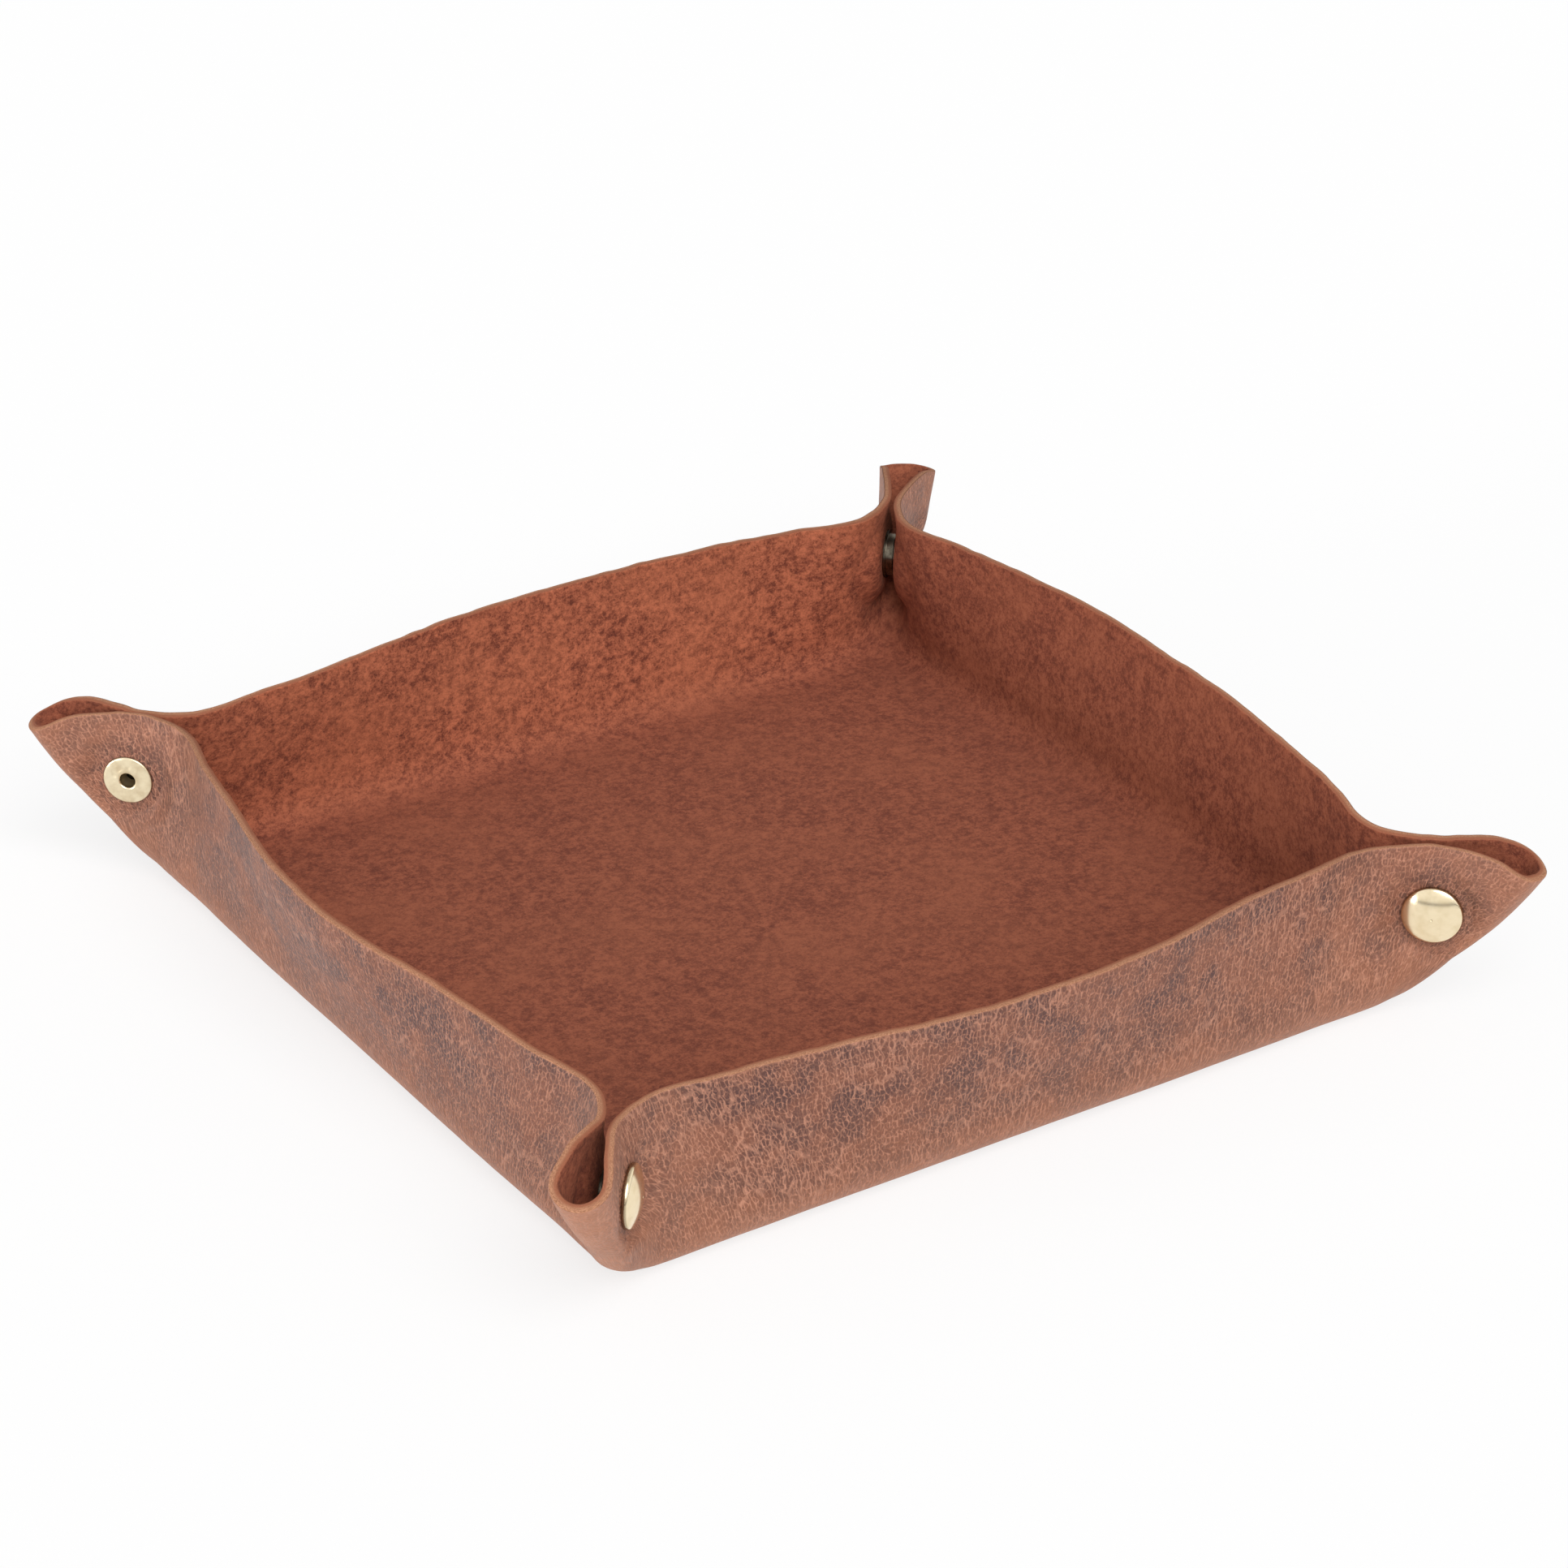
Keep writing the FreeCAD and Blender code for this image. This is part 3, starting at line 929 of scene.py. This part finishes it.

# %% [markdown]
# ## The raw cut edge
# A knife leaves the edge bare: tan fibres with a fuzzy lip on the suede side. The depth
# through the leather is kept on every point, so the finish can go over from one to the other.
# On the back and right walls a dark line of painted shade runs along the grain side of the
# edge, behind the fibres.

# %% Cut edge finish
fibre_dark, fibre_light, fibre_patch = (0.30, 0.125, 0.066), (0.64, 0.325, 0.190), (0.47, 0.205, 0.112)
# The second colour on the next line is painted shade, for the grain side of the back and right edges.
lip_red, edge_shade_dark = (0.33, 0.100, 0.052), (0.10, 0.050, 0.038)


def edge_finish():
    finish, shader, wire = new_finish("raw cut edge")
    sheet, run = kept(wire, "sheet", "Vector"), kept(wire, "run", "Vector")
    depth, level = axis_of(sheet, 2), axis_of(run, 2)
    fibre = noise(stretched(sheet, (1, 1, 2.5)), 0.35, 3, 0.7)
    patch = noise(sheet, 2.6, 3)
    nap = (depth + 1.1 * fibre).step(0.40, 0.95)
    # Painted shade: a dark band at the grain side of the edge, on the back and right walls only.
    grain_side_shade = (depth - 0.3 * fibre).step(-0.62, -0.86)
    shaded_back_and_right = level.step(20, 10) + level.step(100, 110)

    colour = layered(
        fibre_dark,
        (fibre.step(0.3, 0.7), fibre_light),
        (patch.step(0.4, 0.7) * 0.40, fibre_patch),
        (nap * 0.75, lip_red),
        (grain_side_shade * shaded_back_and_right * 0.8, edge_shade_dark))
    set_shader(shader, {"Roughness": 0.92, "Specular IOR Level": 0.2}, Base_Color=colour,
               Normal=bumped(fibre, 0.25, 1.0))
    return finish


edge = edge_finish()
for piece in leather.values():
    for finish in (suede, grain, edge):
        piece.data.materials.append(finish)
print("leather finishes:", [m.name for m in leather["floor"].data.materials])

# %% [markdown]
# ## Press studs
# Each corner has one press stud in plated brass. Outside the front and back walls sits a
# domed cap, and outside the side walls a flat washer with an open tube. Both are pressed from
# sheet, so they are turned here from a half section round the stud's axis. The socket, its
# spring and the stud between the layers keep the frame's own shapes and get metals of their own;
# the socket and the stud are painted dark, as shade in the gap between the layers.

# %% Place of a press stud
seat_gap, socket_plate = 0.05, 0.45
cap_base = snap_half_gap + thickness / 2 + seat_gap
stud_along = fold_line + snap_reach * half_root


def on_stud_axis(points, left, front):
    """From the stud's own axis, with height towards the cap side, to one corner."""
    x, y, h = points.T
    across_x, across_y = (x - h) * half_root, (x + h) * half_root
    placed = np.stack([stud_along + across_x, stud_along + across_y, snap_height + y], -1)
    return placed * (-1 if left else 1, -1 if front else 1, 1)


def turned_piece(name, section, left, front, ripple=None, around=96):
    """A closed ring of (radius, height) points turned about the axis."""
    section = np.array(section)
    turn = np.linspace(0, 2 * math.pi, around, endpoint=False)
    radius = np.repeat(section[:, :1], around, axis=1)
    height = np.repeat(section[:, 1:], around, axis=1)
    if ripple is not None:
        height = height + ripple(radius, turn[None, :])
    points = np.stack([radius * np.cos(turn), radius * np.sin(turn), height], -1)
    rows = len(section)
    number = np.arange(rows * around).reshape(rows, around)
    below, beside = np.roll(number, -1, axis=0), np.roll(number, -1, axis=1)
    faces = np.stack([number, below, np.roll(below, -1, axis=1), beside], -1).reshape(-1, 4)
    if left != front:
        faces = faces[:, ::-1]
    placed = on_stud_axis(points.reshape(-1, 3), left, front)
    made = mesh_object(name, placed, faces.tolist(), [0] * len(faces))
    keep_on_points(made, radius=radius, stud=points)
    return made


print("a press stud stands %.1f mm along its wall" % stud_along)

# %% Half section of the cap
cap_radius, post_radius, post_bore, pole_radius = 5.5, 1.75, 1.2, 0.066
face_radius, face_curve, cap_skirt = 5.1, 11.0, 0.4
rim_in, rim_up = 0.12, 0.08
flare_points = ((2.15, 0.05), (2.2, 0.2), (2.1, 0.35))  # radius, and mm below the flare's top
bore_mouth, bore_end, cap_hollow = 0.3, 0.4, 0.5
flare_top = snap_half_gap - thickness / 2 - seat_gap - socket_plate - seat_gap

face_turn = math.asin(face_radius / face_curve)
edge_round = (cap_radius - face_radius) / (1 - math.sin(face_turn))
face_at = np.linspace(pole_radius, face_radius, 16)
face_low = cap_skirt + edge_round * math.cos(face_turn) - face_curve * math.cos(face_turn)
face_high = face_low + np.sqrt(face_curve**2 - face_at**2)
edge_turn = np.linspace(face_turn, math.pi / 2, 9)[1:]
edge_at = cap_radius - edge_round * (1 - np.sin(edge_turn))
edge_high = cap_skirt + edge_round * np.cos(edge_turn)
cap_section = [(r, cap_base + h) for r, h in zip(face_at, face_high)]
cap_section += [(r, cap_base + h) for r, h in zip(edge_at, edge_high)]
cap_section += [(cap_radius, cap_base + rim_up), (cap_radius - rim_in, cap_base)]
cap_section += [(post_radius, cap_base), (post_radius, flare_top)]
cap_section += [(r, flare_top - drop) for r, drop in flare_points]
cap_section += [(post_bore, flare_top - bore_mouth), (post_bore, cap_base + bore_end),
                (pole_radius, cap_base + cap_hollow)]
print("the cap stands %.2f mm proud" % face_high[0])

# %% Half section of the eyelet
eyelet_radius, eyelet_hole, eyelet_end = 4.75, 1.45, -0.10
washer_points = ((eyelet_radius, 0.0), (4.72, 0.13), (4.62, 0.25), (4.4, 0.34), (4.0, 0.37),
                 (3.5, 0.38), (3.0, 0.39), (2.6, 0.41), (2.3, 0.46), (2.05, 0.52), (1.85, 0.53),
                 (1.68, 0.49), (1.55, 0.40), (1.48, 0.26), (eyelet_hole, 0.05))
eyelet_section = [(r, -cap_base - h) for r, h in washer_points]
eyelet_section += [(eyelet_hole, eyelet_end), (post_radius, eyelet_end), (post_radius, -cap_base)]

mark_inner, mark_outer, swell = (2.3, 0.4), (4.1, 0.4), (2.2, 0.5)  # radius and span of each fade
mark_deep, mark_spacing, swell_deep = 0.085, 4.2, 0.02


def set_marks(radius, turn):
    """Uneven marks that the setting tool leaves in the washer."""
    band = eased(radius, *mark_inner) * (1 - eased(radius, *mark_outer))
    ripple = np.sin((radius - mark_inner[0]) * mark_spacing + np.sin(2 * turn))
    wave = np.sin(11 * turn + 1.3 * np.sin(3 * turn)) * ripple
    return -mark_deep * band * wave - swell_deep * np.sin(5 * turn + radius) * eased(radius, *swell)


print("points of its section:", len(eyelet_section))

# %% Caps and eyelets at the four corners
studs = {}
for depth in ("front", "back"):
    for side in ("left", "right"):
        corner, left, front = depth + "_" + side, side == "left", depth == "front"
        cap = turned_piece("stud_cap_" + corner, cap_section, left, front)
        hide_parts(corner + "_snap_cap")
        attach(cap, corner + "_cap_flap")
        eyelet = turned_piece("stud_eyelet_" + corner, eyelet_section, left, front, set_marks)
        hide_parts(corner + "_eyelet_post")
        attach(eyelet, corner + "_stud_flap")
        studs[corner] = (cap, eyelet)
print("press studs:", len(studs))

# %% [markdown]
# ## Plated brass
# The plating is antique brass: yellow, polished on top, a little cloudy, and darker in the
# groove next to the leather. Metal takes its look from what it reflects, so the colour is
# simple and the roughness carries the wear.

# %% Brass of the caps and the eyelets
groove_wide, groove_dark = 0.20, (0.20, 0.13, 0.07)


def brass_finish(name, bright, dull, rough_low, rough_high, radius):
    finish, shader, wire = new_finish(name)
    place = kept(wire, "stud", "Vector")
    stain = noise(place, 2.6, 3, 0.55)
    grit = noise(place, 0.22, 3, 0.6)
    # Darker towards the outer rim, next to the leather.
    rim_darkening = kept(wire, "radius").step(radius - groove_wide, radius) * (0.45 + 0.5 * grit)
    colour = layered(bright, (stain.step(0.35, 0.75), dull), (rim_darkening, groove_dark))
    rough = rough_low + (rough_high - rough_low) * (stain * 0.6 + grit * 0.4)
    set_shader(shader, {"Metallic": 1.0}, Base_Color=colour, Roughness=rough,
               Normal=bumped(grit, 0.0015, 0.4))
    return finish


cap_finish = brass_finish("polished antique brass", (0.91, 0.77, 0.53), (0.82, 0.67, 0.43),
                          0.13, 0.22, cap_radius)
washer_finish = brass_finish("satin antique brass", (0.84, 0.72, 0.50), (0.66, 0.53, 0.34),
                             0.22, 0.45, eyelet_radius)
for cap, eyelet in studs.values():
    cap.data.materials.append(cap_finish)
    eyelet.data.materials.append(washer_finish)
print("brass:", cap_finish.name, "and", washer_finish.name)


# %% Metal between the layers
def inner_metal(name, bright, dull, smoothest):
    finish, shader, wire = new_finish(name)
    place = wire.node("TexCoord", {}, {}, "Object")
    stain = noise(place, 1.2 * MM, 4, 0.6)
    colour = layered(bright, (stain.step(0.35, 0.7), dull))
    set_shader(shader, {"Metallic": 1.0}, Base_Color=colour, Roughness=smoothest + 0.2 * stain,
               Normal=bumped(stain, 0.01, 0.4))
    return finish


# Painted shade: the socket and stud brass is made very dark, as the gap between the layers is in shade.
shade_dark_socket_finish = inner_metal("socket brass darkened as shade", (0.17, 0.145, 0.11), (0.07, 0.058, 0.042), 0.16)
wire_finish = inner_metal("drawn spring wire", (0.62, 0.62, 0.60), (0.42, 0.42, 0.41), 0.22)
inner_kinds = ("snap_socket", "snap_stud", "socket_spring")
inner_nodes = [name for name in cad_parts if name.endswith(inner_kinds)]
for name in inner_nodes:
    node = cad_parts[name]
    node.data.materials.clear()
    node.data.materials.append(wire_finish if name.endswith("spring") else shade_dark_socket_finish)
print("pieces between the layers:", len(inner_nodes))

# %% [markdown]
# ## What the sheet is
# The pieces are one sheet of leather, cut 229 mm square with rounded corners.

print("parts of the sheet:", len(wall_names) + 1)

# %% [markdown]
# ## Camera, table and light
# The picture is taken from in front and to the left, with a long lens, and the camera was
# worked out from the tray's outline. The table is white and takes a soft shadow. Part of its
# brightness is a glow that only the camera and reflections see. A broad window in front, a low
# fill from the left and a bright room give the even light of a product picture.

# %% Camera
target = Vector((34.5, 47.64, 0)) * MM
azimuth, elevation, distance = math.radians(-33.08), math.radians(28.44), 974.88 * MM
focal_pixels, picture_pixels = 6219.54, 1932
level_x, level_y = math.sin(azimuth) * math.cos(elevation), -math.cos(azimuth) * math.cos(elevation)
towards_camera = Vector((level_x, level_y, math.sin(elevation)))
camera = put("camera", bpy.data.cameras.new("camera"))
camera.location = target + towards_camera * distance
camera.rotation_euler = towards_camera.to_track_quat("Z", "Y").to_euler()
camera.data.sensor_width = 36
camera.data.lens = camera.data.sensor_width * focal_pixels / picture_pixels
scene.camera = camera
print("camera %.0f mm lens" % camera.data.lens)

# %% Table
table_half, table_top = 4000.0, -0.05
glow_share = 0.76
corners = np.array([(-1, -1), (1, -1), (1, 1), (-1, 1)]) * table_half
table = mesh_object("table", np.insert(corners, 2, table_top, axis=1), [(0, 1, 2, 3)], [0])
finish, shader, wire = new_finish("white table")
matt_white = {"Base Color": (0.96, 0.96, 0.96, 1), "Roughness": 0.9, "Specular IOR Level": 0.0}
set_shader(shader, matt_white)
glow = wire.node("Emission", {}, {"Color": (1, 1, 1, 1), "Strength": 1.0})
seen = wire.node("LightPath", {}, {}, "Is Camera Ray") + wire.node("LightPath", {}, {}, "Is Glossy Ray")
lit = Wire(finish.node_tree, shader.outputs[0])
both = wire.node("MixShader", {}, {0: seen * glow_share, 1: lit, 2: glow})
finish.node_tree.links.new(both.socket, finish.node_tree.nodes["Material Output"].inputs["Surface"])
table.data.materials.append(finish)
print("the table is %.0f m square" % (2 * table_half * MM))

# %% Light
room_level, dark_horizon, bright_sky = 0.46, 0.40, 0.94
world = bpy.data.worlds.new("bright room")
scene.world = world
world.use_nodes = True
background = world.node_tree.nodes["Background"]
background.inputs["Color"].default_value = (1, 1, 1, 1)
room = Wire(world.node_tree, None)
sky = axis_of(room.node("TexCoord", {}, {}, "Generated"), 2)
glossy = room.node("LightPath", {}, {}, "Is Glossy Ray")
level = room_level + glossy * (sky.step(0.04, 0.10) * bright_sky - dark_horizon)
world.node_tree.links.new(level.socket, background.inputs["Strength"])


def soft_sun(name, towards, strength, spread):
    made = put(name, bpy.data.lights.new(name, "SUN"))
    made.data.energy, made.data.angle = strength, math.radians(spread)
    made.rotation_euler = Vector(towards).to_track_quat("Z", "Y").to_euler()


soft_sun("window", (-0.15, -0.78, 0.80), 2.3, 50)
soft_sun("low fill", (-1.0, 0.05, 0.0), 2.2, 25)
scene.view_settings.view_transform = "Standard"
print("lamps:", len(bpy.data.lights))
